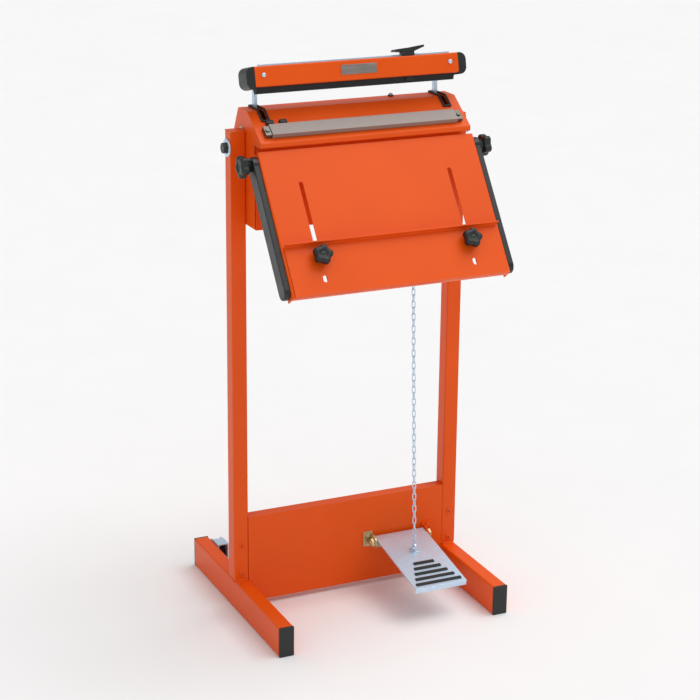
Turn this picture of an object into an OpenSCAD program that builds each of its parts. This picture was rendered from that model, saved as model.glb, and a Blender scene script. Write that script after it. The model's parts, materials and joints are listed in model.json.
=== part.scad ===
// Pedal-operated impulse bag sealer on its own stand.
// Millimetres. +Z up, the front is -Y, X runs along the sealing bar.
// The modules work in the stand frame: z = 0 on the floor, y = 0 on the front faces of
// the uprights, x = 0 at mid width. Side sections are drawn in the (y, z) plane.

/* [Stand] */
// Width across the outer faces of the uprights
stand_w = 403; // [360:1:640]
// Length of each foot tube without its end caps
foot_l = 372; // [330:1:450]
// Height of the foot tube
foot_h = 50; // [45:1:60]
// Width of the foot tube and of the square uprights
tube_w = 25; // [22:1:30]
// Wall of the tubes
tube_wall = 2; // [1.5:0.5:3]
// Height of the head's flat top above the floor
land_z = 826.5; // [700:0.5:1000]
// Distance of the tops of the uprights below the head's flat top
upright_drop = 32.5; // [30:0.5:40]
// Thickness of the face of the foot end caps
cap_t = 4; // [3:0.5:6]
// Height of the cross panel between the uprights
panel_h = 150; // [120:1:180]
// Gap between the floor and the cross panel
panel_floor_gap = 9; // [6:1:20]

/* [Wheels] */
// Radius of the rear transport wheels
wheel_r = 24; // [18:1:24]
// Width of the rear transport wheels
wheel_w = 13; // [10:1:16]
// Gap between the wheel and the floor while the feet carry the machine
wheel_lift = 1; // [0.5:0.5:2]

/* [Pedal] */
// Width of the pedal plate
pedal_w = 92; // [80:1:110]
// Length of the pedal plate along its slope
pedal_l = 162; // [140:1:180]
// Thickness of the pedal plate
pedal_t = 2.5; // [2:0.5:3]
// Distance of the pedal's middle from the inner face of the right upright
pedal_side = 84.5; // [75:0.5:120]
// Slope of the pedal at rest, down towards the front
pedal_tilt = 10.4; // [9:0.1:12]
// Height of the pedal hinge pin above the floor
pedal_pin_z = 82; // [78:1:90]
// Number of rubber strips on the pedal
strip_count = 5; // [3:1:6]

/* [Head] */
// Depth of the flat land
land_d = 36; // [32:1:44]
// Slope of the deck that carries the sealing bar
deck_tilt = 34.3; // [32:0.1:36]
// Length of the deck along its slope
deck_l = 69; // [66:1:76]
// Thickness of the head's sheet metal
sheet_t = 1.5; // [1:0.5:2]
// Height of the head from its underside to its flat top
head_h = 179.5; // [150:0.5:190]
// Thickness of the head's side plates
side_t = 2; // [1.5:0.5:3]

/* [Sealing bar] */
// How much shorter the sealing bar is than the stand is wide
bar_short = 71; // [71:1:120]
// Width of the sealing bar
bar_w = 21; // [20:1:28]
// Height of the sealing bar above the deck
bar_h = 8; // [6:0.5:10]

/* [Jaw] */
// How much shorter the jaw's box section is than the stand is wide
jaw_short = 61; // [61:1:90]
// Depth of the jaw's box section
jaw_d = 34; // [30:1:38]
// Height of the jaw's box section
jaw_h = 31; // [28:1:36]
// Thickness of the soft strip and its holder under the jaw
strip_h = 10; // [8:1:12]
// Length of the jaw's end caps
jaw_cap_l = 14; // [10:1:18]
// Angle that the jaw turns from open to closed
jaw_swing = 48; // [44:1:50]
// Distance of the two jaw arms from the ends of the sealing bar
arm_inset = 12; // [10:1:20]

/* [Table] */
// Slope of the bag table, measured from the vertical
table_tilt = 36; // [30:1:40]
// How much narrower the bag table's panel is than the stand
table_short = 39; // [37:1:60]
// Length of the bag table's panel below its pivot
table_l = 219; // [190:1:240]
// Thickness of the table rails
rail_t = 10; // [6:1:10]
// Width of the table rails
rail_w = 25; // [20:1:27]
// Height of the bag shelf
shelf_h = 81; // [70:1:90]
// Distance of the shelf's clamp knobs from the sides of the table
knob_inset = 57; // [45:1:80]
// Travel of the bag shelf up the table
shelf_travel = 120; // [80:1:120]

/* [Hidden] */
$fn = 48;

// Clearances
fit = 0.05;        // radial running clearance of a shaft in its hole
gap = 0.3;         // clearance between pieces that move past each other
bolt_gap = 0.4;    // radial clearance of a bolt in its hole

// Stand
tube_x = stand_w / 2 - tube_w / 2;      // middle of each upright and foot
in_x = stand_w / 2 - tube_w;            // inner face of the uprights
upright_top = land_z - upright_drop;
cap_lip = 8;                            // depth of an end cap's plug
panel_t = 2;
panel_flange = 20;
screw_z = [62, 110];

// Wheels
wheel_y = foot_l / 2 + cap_t - wheel_r + 2;
wheel_z = wheel_r + wheel_lift;
bracket_t = 2;
axle_r = 4;

// Pedal: p runs forward along the plate from its rear edge, the pin lies under the plate
pedal_x = in_x - pedal_side;
pin_y = -14;
pin_r = 4;
pin_drop = 7;                           // pin axis under the plate's top face
pin_inset = 8;                          // pin axis in front of the plate's rear edge
ear_t = 3;
eye_p = 59;                             // chain eye, along the plate
eye_h = 7;                              // centre of the chain eye above the plate
eye_r = 3.6;                            // hole of the chain eye
eye_ring = 2.6;
strip_t = 2;

// Head section in (y, z)
head_base_z = land_z - head_h;
shell_back_y = 62;
land_front = [-5, land_z];
land_back = land_front + [land_d, 0];
deck_dir = [-cos(deck_tilt), -sin(deck_tilt)];      // forward and down the deck
deck_up = [-sin(deck_tilt), cos(deck_tilt)];        // out of the deck
deck_front = land_front + deck_l * deck_dir;
lip_h = 8;
lip_foot = deck_front - [0, lip_h];
face_recess = 28;
face_y = deck_front[0] + face_recess;               // recessed front of the head
back_drop = 62;
shell_foot = [shell_back_y, land_z - back_drop];
side_in = in_x - side_t;                            // inner face of the side plates

// Sealing bar, on the deck
bar_l = stand_w - bar_short;
bar_s = 49;                             // middle of the bar, down the deck
bar_seat = land_front + bar_s * deck_dir;
clamp_l = 10;                           // element clamp at each end of the bar
band_t = 0.5;
band_w = 5;
tape_t = 0.5;
bar_top = bar_h + band_t + tape_t;

// Jaw: closed, it stands on the tape along deck_up. At rest it is turned back by
// jaw_swing about the cross shaft.
jaw_l = stand_w - jaw_short;
arm_x = bar_l / 2 - arm_inset;
shaft_back = 20;                        // shaft behind the front of the uprights
shaft_drop = 36.5;                      // shaft below the land
shaft_at = [shaft_back, land_z - shaft_drop];
shaft_r = 6;
bush_r = 10;
bush_flange = 2;
jaw_wall = 1.5;
arm_t = 5;
arm_slot = 4.2;                         // half the width of the arms' slots in the deck
arm_w = 10;
strip_w = 14;
blade_slot = 3;
blade_at = 11;                          // middle of the blade slots in front of the strip
seal_at = bar_seat + bar_top * deck_up; // the line where the jaw meets the tape

rail_h = 3;                             // cutter's rail on the jaw
rail_w_top = 6;
cutter_x = 88;
jaw_screw_x = jaw_l / 2 - 14;

// Head bolts: y, z, radius of the shank. The upper one passes through the upright, the
// lower one is screwed into its inner wall from inside the head.
upper_bolt = [tube_w / 2, shaft_at[1] - 21, 5];
lower_bolt = [tube_w / 2, shaft_at[1] - 88, 4];

// Controls on the rear cover, lamp on the land
knob_x = 60;
switch_x = -60;
gland_x = -in_x + 46.5;
control_z = head_base_z + 68;
gland_z = control_z - 30;
lamp_x = 78;
lamp_y = land_back[0] - 8;
lamp_r = 3;

// Crank, spring and chain
spring_r = 6;
spring_wire = 1.6;
spring_low = head_base_z + 40;
crank_x = pedal_x + 14;
crank_r = 23;
crank_t = 6;
crank_pin_r = 2.5;
crank_up = jaw_swing / 2;               // the crank swings evenly about the level
crank_pin = shaft_at + crank_r * [-cos(crank_up), sin(crank_up)];
lug_r = 17;
lug_boss = 4.5;
lug_at = shaft_at + lug_r * [cos(crank_up), -sin(crank_up)];
crank_boss = 6;
wire = 1.8;
link_l = 14;
link_w = 7;
link_pitch = link_l - 2 * wire - gap;
eye_at = pedal_point(eye_p, eye_h);
chain_run = [crank_x - pedal_x, crank_pin[0] - eye_at[0], crank_pin[1] - eye_at[1]];
chain_l = norm(chain_run);
shackle_w = 16;
shackle_hole = 12;
// an even count, so that the top link stands across the crank's pin
link_count = 2 * floor((chain_l - shackle_hole / 2 - wire) / link_pitch / 2);
shackle_start = link_count * link_pitch - wire / 2;

// Table: u runs up the table from the pivot, n out of its face
pivot_back = 5.6;                       // pivot behind the deck's front edge
pivot_drop = 72.5;                      // pivot below the land
pivot = [deck_front[0] + pivot_back, land_z - pivot_drop];
u_dir = [sin(table_tilt), cos(table_tilt)];
n_dir = [-cos(table_tilt), sin(table_tilt)];
face_n = 15;
skin_t = 2;
table_top_u = 15;
ear_r = 12;
pivot_r = 4;
rail_low_u = -table_l + 3;
table_w = stand_w - table_short;
slot_w = 7;
window_drop = 34;                       // small window in the shelf, under each knob
window_l = 11;
shelf_t = 2;
shelf_low_u = -table_l;
shelf_top_u = shelf_low_u + shelf_h;
shelf_n = face_n + gap;
lip_out = 10;
shelf_w = table_w - 8;
shelf_knob_drop = 23.5;                 // shelf knobs below the shelf's top edge
shelf_knob_u = shelf_top_u - shelf_knob_drop;
stud_r = 3;
knob_r = 16;
table_knob_r = 18;
shelf_knob_x = table_w / 2 - knob_inset;
slot_top_u = shelf_knob_u + shelf_travel + slot_w / 2 + gap;
slot_low_u = shelf_knob_u - window_drop - window_l / 2 - 0.5;

// The part's origin is under the middle of its bounding box
front_y = at_table(shelf_low_u, shelf_n + shelf_t)[0];
back_y = foot_l / 2 + cap_t;
mid_y = (front_y + max(back_y, wheel_y + wheel_r)) / 2;

// ---- helpers ----
function turn(v, a) = [v[0] * cos(a) - v[1] * sin(a), v[0] * sin(a) + v[1] * cos(a)];
function unit(v) = v / norm(v);
function side_of(a, b) = let (d = unit(b - a)) [-d[1], d[0]];
// Point i of a path moved to its left by t, mitred at the bends
function shifted(path, i, t) =
    let (last = len(path) - 1,
         before = side_of(path[max(i - 1, 0)], path[max(i, 1)]),
         after = side_of(path[min(i, last - 1)], path[min(i + 1, last)]))
    path[i] + (before + after) * t / (1 + before * after);
function sheet_outline(path, t0, t1) = concat(
    [for (i = [0 : len(path) - 1]) shifted(path, i, t0)],
    [for (i = [len(path) - 1 : -1 : 0]) shifted(path, i, t1)]);
// Point on the pedal in (y, z): p forward from the rear edge, h above the top face
function pedal_point(p, h) =
    [pin_y, pedal_pin_z] + turn([-(p - pin_inset), h + pin_drop], pedal_tilt);
function at_table(u, n) = pivot + u * u_dir + n * n_dir;
// Point on the jaw at rest in (y, z): w forward, v up from the strip's lower face
function jaw_point(w, v) =
    shaft_at + turn(seal_at - shaft_at + w * deck_dir + v * deck_up, -jaw_swing);

// Extrudes a (y, z) drawing from x0 to x1
module along_x(x0, x1) translate([x0, 0, 0]) rotate([90, 0, 90]) linear_extrude(x1 - x0) children();
module rod_x(x0, x1, at, r) translate([x0, at[0], at[1]]) rotate([0, 90, 0]) cylinder(h = x1 - x0, r = r);
module hex_x(x0, x1, at, across) translate([x0, at[0], at[1]]) rotate([0, 90, 0])
    cylinder(h = x1 - x0, d = across / cos(30), $fn = 6);
module rod_y(y0, y1, x, z, r) translate([x, y0, z]) rotate([-90, 0, 0]) cylinder(h = y1 - y0, r = r);
// Puts children drawn with +Z out of the table and +Y up the table at (x, u, n)
module on_table(x, u, n) translate([x, at_table(u, n)[0], at_table(u, n)[1]])
    rotate([90 - table_tilt, 0, 0]) children();
module on_deck(x, s, h) let (c = land_front + s * deck_dir + h * deck_up)
    translate([x, c[0], c[1]]) rotate([deck_tilt, 0, 0]) children();
module mirrored() {
    children();
    mirror([1, 0, 0]) children();
}
module box_at(lo, hi) translate(lo) cube(hi - lo);
module slot_2d(w, l) {
    square([w, l - w], center = true);
    for (e = [-1, 1]) translate([0, e * (l - w) / 2]) circle(d = w);
}
// Five-lobed clamp knob, its base at z = 0, with its stud below
module star_knob(r, h, stud_l, stud_radius) {
    neck_h = h * 0.35;
    difference() {
        translate([0, 0, neck_h]) linear_extrude(h - neck_h) {
            circle(r * 0.78);
            for (a = [0 : 72 : 359]) rotate(a) translate([r * 0.66, 0]) circle(r * 0.34);
        }
        translate([0, 0, h - 1.2]) cylinder(h = 2, r = r * 0.4);
    }
    cylinder(h = neck_h, r = r * 0.5);
    if (stud_l > 0) translate([0, 0, -stud_l]) cylinder(h = stud_l, r = stud_radius);
}

// ---- stand ----
module foot() {
    color("orangered") difference() {
        box_at([in_x, -foot_l / 2, 0], [in_x + tube_w, foot_l / 2, foot_h]);
        box_at([in_x + tube_wall, -foot_l / 2 - 1, tube_wall],
               [in_x + tube_w - tube_wall, foot_l / 2 + 1, foot_h - tube_wall]);
        rod_x(in_x - 1, in_x + tube_wall + 1, [wheel_y, wheel_z], axle_r + bolt_gap);
    }
}
module foot_left() mirror([1, 0, 0]) foot();
module foot_right() foot();
module foot_end_caps() {
    plug = tube_wall + gap;
    color([0.1, 0.11, 0.11]) mirrored() for (s = [-1, 1]) scale([1, s, 1]) {
        box_at([in_x, foot_l / 2, 0], [in_x + tube_w, foot_l / 2 + cap_t, foot_h]);
        box_at([in_x + plug, foot_l / 2 - cap_lip, plug],
               [in_x + tube_w - plug, foot_l / 2, foot_h - plug]);
    }
}
module upright() {
    color("orangered") difference() {
        box_at([in_x, 0, foot_h], [in_x + tube_w, tube_w, upright_top]);
        box_at([in_x + tube_wall, tube_wall, foot_h - 1],
               [in_x + tube_w - tube_wall, tube_w - tube_wall, upright_top + 1]);
        rod_x(in_x - 1, in_x + tube_w + 1, [upper_bolt[0], upper_bolt[1]], upper_bolt[2] + bolt_gap);
        rod_x(in_x - 1, in_x + tube_wall + 1, [lower_bolt[0], lower_bolt[1]], lower_bolt[2] + bolt_gap);
        for (z = screw_z) rod_y(-1, tube_wall + 1, tube_x, z, 2.5 + bolt_gap);
    }
}
module upright_left() mirror([1, 0, 0]) upright();
module upright_right() upright();
module upright_plugs() {
    plug = tube_wall + gap;
    color("orangered") mirrored() {
        box_at([in_x, 0, upright_top], [in_x + tube_w, tube_w, upright_top + 1.5]);
        box_at([in_x + plug, plug, upright_top - 10],
               [in_x + tube_w - plug, tube_w - plug, upright_top]);
    }
}
module upright_screws() {
    color("orangered") mirrored() for (z = screw_z) {
        rod_y(-2.5, 0, tube_x, z, 4);
        rod_y(0, 12, tube_x, z, 2.5);
    }
}
module cross_panel() {
    low = panel_floor_gap;
    high = panel_floor_gap + panel_h;
    color("orangered") difference() {
        box_at([-in_x, 0, low], [in_x, panel_flange, high]);
        box_at([-in_x + panel_t, panel_t, low + panel_t], [in_x - panel_t, panel_flange + 1, high - panel_t]);
        for (x = bracket_bolt_x()) for (z = bracket_bolt_z()) rod_y(-1, panel_t + 1, x, z, 2 + bolt_gap);
    }
}

// ---- rear wheels ----
module wheel_brackets() {
    near = in_x - bracket_t;
    far = near - wheel_w - 2;
    top = wheel_z + wheel_r + 2;
    color("silver") mirrored() difference() {
        union() {
            box_at([near, wheel_y - 28, wheel_z - 8], [in_x, wheel_y + 8, top]);
            box_at([far - bracket_t, wheel_y - 28, wheel_z - 8], [far, wheel_y + 8, top]);
            box_at([far - bracket_t, wheel_y - 28, top], [in_x, wheel_y - 2, top + bracket_t]);
        }
        rod_x(far - bracket_t - 1, in_x + 1, [wheel_y, wheel_z], axle_r + bolt_gap);
    }
}
module wheel_axles() {
    far = in_x - 2 * bracket_t - wheel_w - 2;
    color("silver") mirrored() {
        rod_x(far - 6, in_x + tube_wall + 6, [wheel_y, wheel_z], axle_r);
        hex_x(far - 5, far, [wheel_y, wheel_z], 13);
        hex_x(in_x + tube_wall, in_x + tube_wall + 5, [wheel_y, wheel_z], 13);
    }
}
module rear_wheel() {
    near = in_x - bracket_t - 1;
    color([0.09, 0.1, 0.1]) difference() {
        rod_x(near - wheel_w, near, [wheel_y, wheel_z], wheel_r);
        rod_x(near - wheel_w - 1, near + 1, [wheel_y, wheel_z], axle_r + fit);
        for (x = [near - 2, near - wheel_w - 1]) difference() {
            rod_x(x, x + 3, [wheel_y, wheel_z], wheel_r - 7);
            rod_x(x - 1, x + 4, [wheel_y, wheel_z], axle_r + 4);
        }
    }
}
module rear_wheel_left() mirror([1, 0, 0]) rear_wheel();
module rear_wheel_right() rear_wheel();

// ---- pedal ----
function bracket_ear_x() = pedal_w / 2 + 1;
function bracket_bolt_x() = [for (s = [-1, 1]) pedal_x + s * (bracket_ear_x() + ear_t + 6)];
function bracket_bolt_z() = [pedal_pin_z - 5, pedal_pin_z + 11];
// The hinge bracket on one side of the pedal, with the two screws that hold it
module pedal_bracket(side) {
    low = pedal_pin_z - 10;
    high = pedal_pin_z + 16;
    ear = bracket_ear_x();
    screw_x = ear + ear_t + 6;
    translate([pedal_x, 0, 0]) scale([side, 1, 1]) {
        difference() {
            union() {
                box_at([ear, -2.5, low], [ear + ear_t + 13, 0, high]);
                box_at([ear, pin_y, low], [ear + ear_t, -2.5, pedal_pin_z + 12]);
                rod_x(ear, ear + ear_t, [pin_y, pedal_pin_z], 10);
            }
            rod_x(ear - 1, ear + ear_t + 1, [pin_y, pedal_pin_z], pin_r + fit);
            for (z = bracket_bolt_z()) rod_y(-4, 1, screw_x, z, 2 + bolt_gap);
        }
        for (z = bracket_bolt_z()) {
            rod_y(-6, -2.5, screw_x, z, 4);
            rod_y(-2.5, 6, screw_x, z, 2);
        }
    }
}
module pedal_bracket_left() color([0.72, 0.62, 0.3]) pedal_bracket(-1);
module pedal_bracket_right() color("orangered") pedal_bracket(1);
module pedal_pin() {
    half = bracket_ear_x() + ear_t;
    color([0.75, 0.66, 0.35]) translate([pedal_x, 0, 0]) {
        rod_x(-half - 7, half + 7, [pin_y, pedal_pin_z], pin_r);
        for (s = [-1, 1]) scale([s, 1, 1]) hex_x(half, half + 5, [pin_y, pedal_pin_z], 13);
    }
}
module pedal() {
    plate = [pedal_point(0, 0), pedal_point(pedal_l, 0), pedal_point(pedal_l, -pedal_t),
             pedal_point(0, -pedal_t)];
    cheek = [pedal_point(0, 0), pedal_point(34, 0), pedal_point(pin_inset + 5, -pin_drop - 6),
             pedal_point(2, -pin_drop - 6)];
    nose = [pedal_point(pedal_l - pedal_t, 0), pedal_point(pedal_l, 0),
            pedal_point(pedal_l, -9), pedal_point(pedal_l - pedal_t, -9)];
    half = pedal_w / 2;
    color([0.8, 0.84, 0.87]) translate([pedal_x, 0, 0]) difference() {
        union() {
            along_x(-half, half) polygon(plate);
            along_x(-half, half) polygon(nose);
            mirrored() along_x(half - ear_t, half) polygon(cheek);
        }
        rod_x(-half - 1, half + 1, [pin_y, pedal_pin_z], pin_r + fit);
    }
}
// Trapezoid pattern: the strips grow longer towards the front edge
module pedal_strips() {
    color([0.1, 0.1, 0.1]) for (i = [0 : strip_count - 1]) {
        share = 1 - i / (strip_count - 1);
        half = pedal_w * (0.2 + 0.24 * share);
        p = pedal_l - 7 - 14 * i;
        lo = [pedal_point(p, 0), pedal_point(p - 6, 0), pedal_point(p - 6, strip_t), pedal_point(p, strip_t)];
        translate([pedal_x, 0, 0]) along_x(-half, half) polygon(lo);
    }
}
module pedal_eye() {
    outer = eye_r + eye_ring;
    color("silver") translate([pedal_x, 0, 0]) difference() {
        union() {
            rod_x(-1.5, 1.5, eye_at, outer);
            along_x(-5, 5) polygon([for (q = [[-8, 0], [8, 0], [8, 2], [-8, 2]])
                pedal_point(eye_p + q[0], q[1])]);
        }
        rod_x(-3, 3, eye_at, eye_r);
        along_x(-6, 6) polygon([for (q = [[-9, -4], [9, -4], [9, 0], [-9, 0]])
            pedal_point(eye_p + q[0], q[1])]);
    }
}

// ---- chain ----
// Puts children drawn along +Z on the chain's line, from the eye to the crank's pin
module on_chain(s) translate([pedal_x, eye_at[0], eye_at[1]])
    rotate([-asin(chain_run[1] / chain_l), atan2(chain_run[0], chain_run[2]), 0])
    translate([0, 0, s]) children();
module link_ring(l, w) rotate([90, 0, 0]) linear_extrude(wire, center = true) difference() {
    slot_2d(w, l);
    slot_2d(w - 2 * wire, l - 2 * wire);
}
module chain() {
    shackle_l = chain_l + shackle_hole / 2 + wire - shackle_start;
    color([0.66, 0.68, 0.7]) {
        for (i = [0 : link_count - 1]) on_chain(i * link_pitch + link_l / 2 - wire / 2)
            rotate(90 * (i % 2)) link_ring(link_l, link_w);
        on_chain(shackle_start + shackle_l / 2) rotate(90) rotate([90, 0, 0])
            linear_extrude(wire, center = true) difference() {
                slot_2d(shackle_w, shackle_l);
                slot_2d(shackle_hole, shackle_l - 2 * wire);
            }
    }
}

// ---- head ----
module side_plate() {
    outline = [shell_foot, land_back, land_front, deck_front, lip_foot, [face_y, lip_foot[1]],
               [face_y, head_base_z], [shell_back_y, head_base_z]];
    color("orangered") difference() {
        union() {
            along_x(side_in, in_x) polygon(sheet_outline_inner(outline));
            rod_x(side_in, in_x, pivot, ear_r);
            along_x(side_in, in_x) polygon([pivot + [0, ear_r], [face_y + sheet_t, pivot[1] + ear_r],
                [face_y + sheet_t, pivot[1] - ear_r], pivot - [0, ear_r]]);
        }
        rod_x(side_in - 1, in_x + 1, shaft_at, bush_r + bolt_gap);
        rod_x(side_in - 1, in_x + 1, pivot, pivot_r + bolt_gap);
        for (b = [upper_bolt, lower_bolt]) rod_x(side_in - 1, in_x + 1, [b[0], b[1]], b[2] + bolt_gap);
    }
}
// The side plates lie inside the folded covers
function sheet_outline_inner(pts) = let (n = len(pts)) [for (i = [0 : n - 1])
    let (before = side_of(pts[(i + n - 1) % n], pts[i]), after = side_of(pts[i], pts[(i + 1) % n]))
    pts[i] + (before + after) * sheet_t / (1 + before * after)];
module side_plate_left() mirror([1, 0, 0]) side_plate();
module side_plate_right() side_plate();

module arm_slots(x0, x1) along_x(x0, x1)
    polygon([[27, land_z + 9], [27, land_z - 9], land_front + [0, -9],
             land_front + 22 * deck_dir - 9 * deck_up, land_front + 22 * deck_dir + 9 * deck_up,
             land_front + [0, 9]]);
module head_shell() {
    path = [shell_foot, land_back, land_front, deck_front, lip_foot, [face_y, lip_foot[1]]];
    color("orangered") difference() {
        along_x(-in_x, in_x) polygon(sheet_outline(path, 0, sheet_t));
        for (x = [-arm_x, arm_x]) arm_slots(x - arm_slot, x + arm_slot);
        translate([lamp_x, lamp_y, land_z - 5]) cylinder(h = 10, r = lamp_r);
    }
}
module base_cover() {
    // front wall, floor with the chain's slot, and a short rear upstand
    back = shell_back_y - sheet_t - gap;
    path = [[face_y, lip_foot[1] - sheet_t - gap], [face_y, head_base_z], [back, head_base_z],
            [back, head_base_z + 12]];
    hole = chain_at(head_base_z);
    color("orangered") difference() {
        along_x(-side_in + gap, side_in - gap) polygon(sheet_outline(path, 0, sheet_t));
        box_at([hole[0] - 10, hole[1] - 14, head_base_z - 1], [hole[0] + 10, hole[1] + 18, head_base_z + 3]);
    }
}
// Where the chain's middle line crosses the height z, as [x, y]
function chain_at(z) = let (f = (z - eye_at[1]) / chain_run[2])
    [pedal_x + f * chain_run[0], eye_at[0] + f * chain_run[1]];
module rear_cover() {
    color("orangered") difference() {
        box_at([-in_x, shell_back_y - sheet_t, head_base_z], [in_x, shell_back_y, shell_foot[1] - sheet_t]);
        rod_y(shell_back_y - 5, shell_back_y + 5, knob_x, control_z, 4 + bolt_gap);
        box_at([switch_x - 11, shell_back_y - 5, control_z - 7],
               [switch_x + 11, shell_back_y + 5, control_z + 7]);
        rod_y(shell_back_y - 5, shell_back_y + 5, gland_x, gland_z, 8 + bolt_gap);
        for (x = cover_screw_x()) for (z = cover_screw_z())
            rod_y(shell_back_y - 5, shell_back_y + 5, x, z, 2 + bolt_gap);
    }
}
function cover_screw_x() = [-in_x + 9, in_x - 9];
function cover_screw_z() = [head_base_z + 20, shell_foot[1] - 14];
module cover_screws() {
    color("silver") for (x = cover_screw_x()) for (z = cover_screw_z()) {
        rod_y(shell_back_y, shell_back_y + 2, x, z, 4);
        rod_y(shell_back_y - 8, shell_back_y, x, z, 2);
    }
}
module head_bolts() {
    out = in_x + tube_w;
    washer = 2.5;
    upper = [upper_bolt[0], upper_bolt[1]];
    color([0.7, 0.72, 0.68]) mirrored() {
        rod_x(side_in - 8, out + washer, upper, upper_bolt[2]);
        rod_x(out, out + washer, upper, upper_bolt[2] * 3 - 1);
        hex_x(out + washer, out + washer + upper_bolt[2] * 1.3, upper, upper_bolt[2] * 3.2);
        rod_x(side_in, in_x + tube_wall + 3, [lower_bolt[0], lower_bolt[1]], lower_bolt[2]);
        for (b = [upper_bolt, lower_bolt]) hex_x(side_in - 6, side_in, [b[0], b[1]], b[2] * 3.2);
    }
}
module pilot_lamp() {
    color([0.75, 0.78, 0.75]) translate([lamp_x, lamp_y, land_z]) {
        cylinder(h = 2, r = lamp_r + 2);
        translate([0, 0, 2]) cylinder(h = 3, r = lamp_r + 0.5);
        translate([0, 0, -6]) cylinder(h = 6, r = lamp_r);
    }
}

// ---- sealing bar ----
module deck_block(x0, x1, w, h0, h1) along_x(x0, x1) polygon([
    bar_seat - w / 2 * deck_dir + h0 * deck_up, bar_seat + w / 2 * deck_dir + h0 * deck_up,
    bar_seat + w / 2 * deck_dir + h1 * deck_up, bar_seat - w / 2 * deck_dir + h1 * deck_up]);
module sealing_bar() color([0.62, 0.6, 0.57])
    deck_block(-bar_l / 2 + clamp_l, bar_l / 2 - clamp_l, bar_w, 0, bar_h);
module heating_band() color([0.7, 0.68, 0.62])
    deck_block(-bar_l / 2 + clamp_l, bar_l / 2 - clamp_l, band_w, bar_h, bar_h + band_t);
module bar_tape() color([0.55, 0.5, 0.45]) difference() {
    deck_block(-bar_l / 2 + clamp_l, bar_l / 2 - clamp_l, bar_w + 2 * tape_t, 1, bar_top);
    deck_block(-bar_l / 2, bar_l / 2, bar_w, 0, bar_h);
    deck_block(-bar_l / 2, bar_l / 2, band_w + 0.4, 0, bar_h + band_t);
}
module element_clamps() {
    color([0.25, 0.26, 0.2]) mirrored() {
        deck_block(bar_l / 2 - clamp_l, bar_l / 2, bar_w - 2, 0, bar_h - 1);
        on_deck(bar_l / 2 - clamp_l / 2, bar_s, bar_h - 1) cylinder(h = 2, r = 3.4);
    }
}
module element_terminals() {
    color([0.1, 0.1, 0.1]) for (x = [-bar_l / 2 + 16, -bar_l / 2 + 38]) on_deck(x, 29, 3)
        translate([-6, -3.5, -3]) cube([12, 7, 5]);
}
module arm_grommets() {
    path = [[30, land_z], land_front, land_front + 25 * deck_dir];
    color([0.08, 0.08, 0.08]) for (x = [-arm_x, arm_x]) difference() {
        along_x(x - arm_slot - 3, x + arm_slot + 3) polygon(sheet_outline(path, -3, 0));
        arm_slots(x - arm_slot, x + arm_slot);
    }
}

// ---- inside the head ----
module shaft_bushes() {
    color([0.75, 0.6, 0.3]) mirrored() difference() {
        union() {
            rod_x(side_in, in_x - 0.2, shaft_at, bush_r);
            rod_x(side_in - bush_flange, side_in, shaft_at, bush_r + 2);
        }
        rod_x(side_in - bush_flange - 1, in_x + 1, shaft_at, shaft_r + fit);
    }
}
module transformer() {
    floor_z = head_base_z + sheet_t;
    color([0.35, 0.34, 0.33]) {
        difference() {
            box_at([-120, -16, floor_z + 2], [-50, 26, floor_z + 60]);
            for (x = [-104, -76]) box_at([x, -17, floor_z + 14], [x + 10, 27, floor_z + 48]);
        }
        box_at([-128, -16, floor_z], [-42, 26, floor_z + 2]);
    }
    color([0.75, 0.6, 0.25]) for (y = [[-26, -16], [26, 36]])
        box_at([-103, y[0], floor_z + 16], [-67, y[1], floor_z + 46]);
}
module timer_board() {
    back = shell_back_y - sheet_t;
    left = knob_x - 40;
    low = control_z - 25;
    color([0.1, 0.35, 0.2]) {
        box_at([left, back - 14, low], [left + 80, back - 12.4, low + 55]);
        for (x = [left + 6, left + 72]) for (z = [low + 6, low + 49])
            rod_y(back - 12.4, back, x, z, 2.5);
        box_at([left + 6, back - 24, low + 34], [left + 24, back - 14, low + 50]);
        rod_y(back - 12.4, back - 4, knob_x, control_z, 8);
    }
}
module micro_switch() {
    color([0.12, 0.12, 0.12]) {
        low = shaft_at[1] - 38;
        front = shaft_at[0] + 14;
        box_at([-side_in, front, low], [-side_in + 10, front + 20, low + 13]);
        rod_y(front - 4, front, -side_in + 5, low + 6, 1.5);
    }
}
module power_switch() {
    color([0.08, 0.08, 0.08]) {
        box_at([switch_x - 10.5, shell_back_y - 14, control_z - 6.5],
               [switch_x + 10.5, shell_back_y, control_z + 6.5]);
        box_at([switch_x - 13, shell_back_y, control_z - 8.5],
               [switch_x + 13, shell_back_y + 2, control_z + 8.5]);
        along_x(switch_x - 8, switch_x + 8) polygon([[shell_back_y + 2, control_z - 6],
            [shell_back_y + 2, control_z + 6], [shell_back_y + 5, control_z + 6]]);
    }
}
module timer_knob() {
    color([0.08, 0.08, 0.08]) difference() {
        union() {
            rod_y(shell_back_y + gap, shell_back_y + 14, knob_x, control_z, 13);
            rod_y(shell_back_y - sheet_t - 3.5, shell_back_y + gap, knob_x, control_z, 3);
        }
        box_at([knob_x - 1, shell_back_y + 13, control_z], [knob_x + 1, shell_back_y + 15, control_z + 14]);
    }
}
module cable_gland() {
    color([0.1, 0.1, 0.1]) difference() {
        union() {
            rod_y(shell_back_y - 8, shell_back_y, gland_x, gland_z, 8);
            rod_y(shell_back_y, shell_back_y + 12, gland_x, gland_z, 11);
        }
        rod_y(shell_back_y - 9, shell_back_y + 13, gland_x, gland_z, 3.5);
    }
}
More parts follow.
